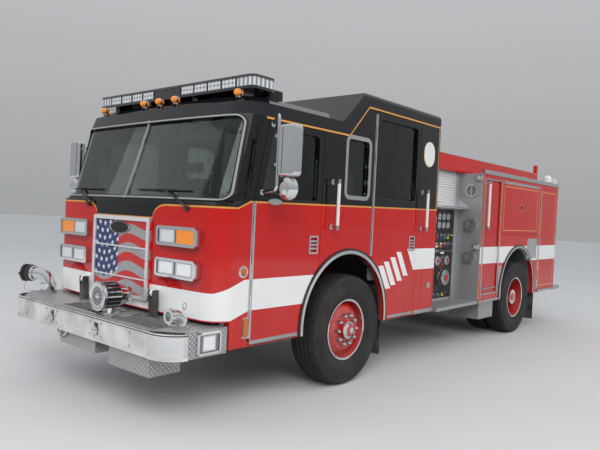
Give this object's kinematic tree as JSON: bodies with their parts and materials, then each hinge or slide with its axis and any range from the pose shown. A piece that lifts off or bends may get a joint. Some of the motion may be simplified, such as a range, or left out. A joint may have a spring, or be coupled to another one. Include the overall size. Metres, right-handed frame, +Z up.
{
  "type": "fire engine",
  "caption": "Short-wheelbase pumper fire engine: tilting four-door cab, front siren and intake, side pump panel, lockers and open hose bed.",
  "frame": {"origin": "on the ground under the middle of the vehicle", "axes": "-Y is the front, +X the driver's side, +Z up"},
  "size_m": [3.34, 8.5119, 2.88],
  "materials": {
    "red_paint": "gloss",
    "black_paint": "satin",
    "chrome": "polished",
    "bright_steel": "brushed",
    "treadplate": "polished",
    "window_glass": "clear",
    "lamp_glass": "clear",
    "red_lens": "gloss",
    "tyre": "matt",
    "rubber": "matt",
    "black_plastic": "satin",
    "grey_plastic": "matt",
    "seat_fabric": "matt",
    "cast_iron": "matt"
  },
  "bodies": {
    "chassis": {"frame_rails": "black_paint", "engine": "cast_iron", "exhaust": "bright_steel", "front_axle": "cast_iron", "rear_axle": "cast_iron", "water_tank": "grey_plastic", "front_bumper": "chrome", "bumper_lamps": "lamp_glass", "bumper_deck": "treadplate", "siren": "chrome", "front_pipes": "chrome", "suction_cap": "black_plastic", "pump_module": "red_paint", "pump_panels": "black_plastic", "pump_fittings": "bright_steel", "running_boards": "treadplate", "body_shell": "red_paint", "rollup_doors": "red_paint", "hose_bed": "red_paint", "body_treadplate": "treadplate", "body_trim": "chrome", "rear_lamps": "red_lens", "mud_flaps": "rubber", "underbody_boxes": "treadplate"},
    "cab": {"cab_shell": "red_paint", "cab_roof": "black_paint", "cab_floor": "treadplate", "cab_glass": "window_glass", "grille": "chrome", "lamp_bezels": "chrome", "cab_lamps": "lamp_glass", "lightbar": "red_lens", "dashboard": "grey_plastic", "seats": "seat_fabric", "cab_rails": "bright_steel"},
    "door_front_left": {"door_front_left": "red_paint", "door_glass_front_left": "window_glass", "mirror_left": "black_plastic"},
    "door_rear_left": {"door_rear_left": "red_paint", "door_glass_rear_left": "window_glass"},
    "knuckle_left": {"knuckle_left": "cast_iron"},
    "wheel_front_left": {"tyre_front_left": "tyre", "rim_front_left": "chrome"},
    "wheel_rear_left": {"tyre_rear_left": "tyre", "rim_rear_left": "red_paint"},
    "hatch_left": {"hatch_left": "red_paint"},
    "locker_door_left": {"locker_door_left": "red_paint"},
    "door_front_right": {"door_front_right": "red_paint", "door_glass_front_right": "window_glass", "mirror_right": "black_plastic"},
    "door_rear_right": {"door_rear_right": "red_paint", "door_glass_rear_right": "window_glass"},
    "knuckle_right": {"knuckle_right": "cast_iron"},
    "wheel_front_right": {"tyre_front_right": "tyre", "rim_front_right": "chrome"},
    "wheel_rear_right": {"tyre_rear_right": "tyre", "rim_rear_right": "red_paint"},
    "hatch_right": {"hatch_right": "red_paint"},
    "locker_door_right": {"locker_door_right": "red_paint"},
    "steering_wheel": {"steering_wheel": "black_plastic"}
  },
  "joints": [
    {"name": "cab_tilt", "type": "hinge", "parent": "chassis", "child": "cab", "pos_m": [0, -3.88, 0.95], "axis": [1, 0, 0], "range_deg": [0, 45]},
    {"name": "door_front_left", "type": "hinge", "parent": "cab", "child": "door_front_left", "pos_m": [1.226, -3.444, 1.3], "axis": [0, 0, -1], "range_deg": [0, 75]},
    {"name": "door_rear_left", "type": "hinge", "parent": "cab", "child": "door_rear_left", "pos_m": [1.226, -1.759, 1.3], "axis": [0, 0, -1], "range_deg": [0, 75]},
    {"name": "steer_left", "type": "hinge", "parent": "chassis", "child": "knuckle_left", "pos_m": [0.89, -2.044, 0.538], "axis": [0, 0, 1], "range_deg": [-36, 36]},
    {"name": "wheel_front_left", "type": "hinge", "parent": "knuckle_left", "child": "wheel_front_left", "pos_m": [1.043, -2.044, 0.538], "axis": [1, 0, 0], "continuous": true},
    {"name": "wheel_rear_left", "type": "hinge", "parent": "chassis", "child": "wheel_rear_left", "pos_m": [0.912, 2.206, 0.538], "axis": [1, 0, 0], "continuous": true},
    {"name": "hatch_left", "type": "hinge", "parent": "chassis", "child": "hatch_left", "pos_m": [1.256, 2.191, 2.235], "axis": [0, -1, 0], "range_deg": [0, 85]},
    {"name": "locker_door_left", "type": "hinge", "parent": "chassis", "child": "locker_door_left", "pos_m": [1.256, 3.001, 1.4], "axis": [0, 0, -1], "range_deg": [0, 90]},
    {"name": "door_front_right", "type": "hinge", "parent": "cab", "child": "door_front_right", "pos_m": [-1.226, -3.444, 1.3], "axis": [0, 0, 1], "range_deg": [0, 75]},
    {"name": "door_rear_right", "type": "hinge", "parent": "cab", "child": "door_rear_right", "pos_m": [-1.226, -1.759, 1.3], "axis": [0, 0, 1], "range_deg": [0, 75]},
    {"name": "steer_right", "type": "hinge", "parent": "chassis", "child": "knuckle_right", "pos_m": [-0.89, -2.044, 0.538], "axis": [0, 0, 1], "range_deg": [-36, 36]},
    {"name": "wheel_front_right", "type": "hinge", "parent": "knuckle_right", "child": "wheel_front_right", "pos_m": [-1.043, -2.044, 0.538], "axis": [1, 0, 0], "continuous": true},
    {"name": "wheel_rear_right", "type": "hinge", "parent": "chassis", "child": "wheel_rear_right", "pos_m": [-0.912, 2.206, 0.538], "axis": [1, 0, 0], "continuous": true},
    {"name": "hatch_right", "type": "hinge", "parent": "chassis", "child": "hatch_right", "pos_m": [-1.256, 2.191, 2.235], "axis": [0, 1, 0], "range_deg": [0, 85]},
    {"name": "locker_door_right", "type": "hinge", "parent": "chassis", "child": "locker_door_right", "pos_m": [-1.256, 3.001, 1.4], "axis": [0, 0, 1], "range_deg": [0, 90]},
    {"name": "steering_wheel", "type": "hinge", "parent": "cab", "child": "steering_wheel", "pos_m": [0.6, -3.174, 1.58], "axis": [0, 0.4695, 0.8829], "range_deg": [-648, 648]}
  ],
  "couplings": [
    {"joint": "steer_right", "follows": "steer_left", "ratio": 1},
    {"joint": "steering_wheel", "follows": "steer_left", "ratio": 18}
  ]
}
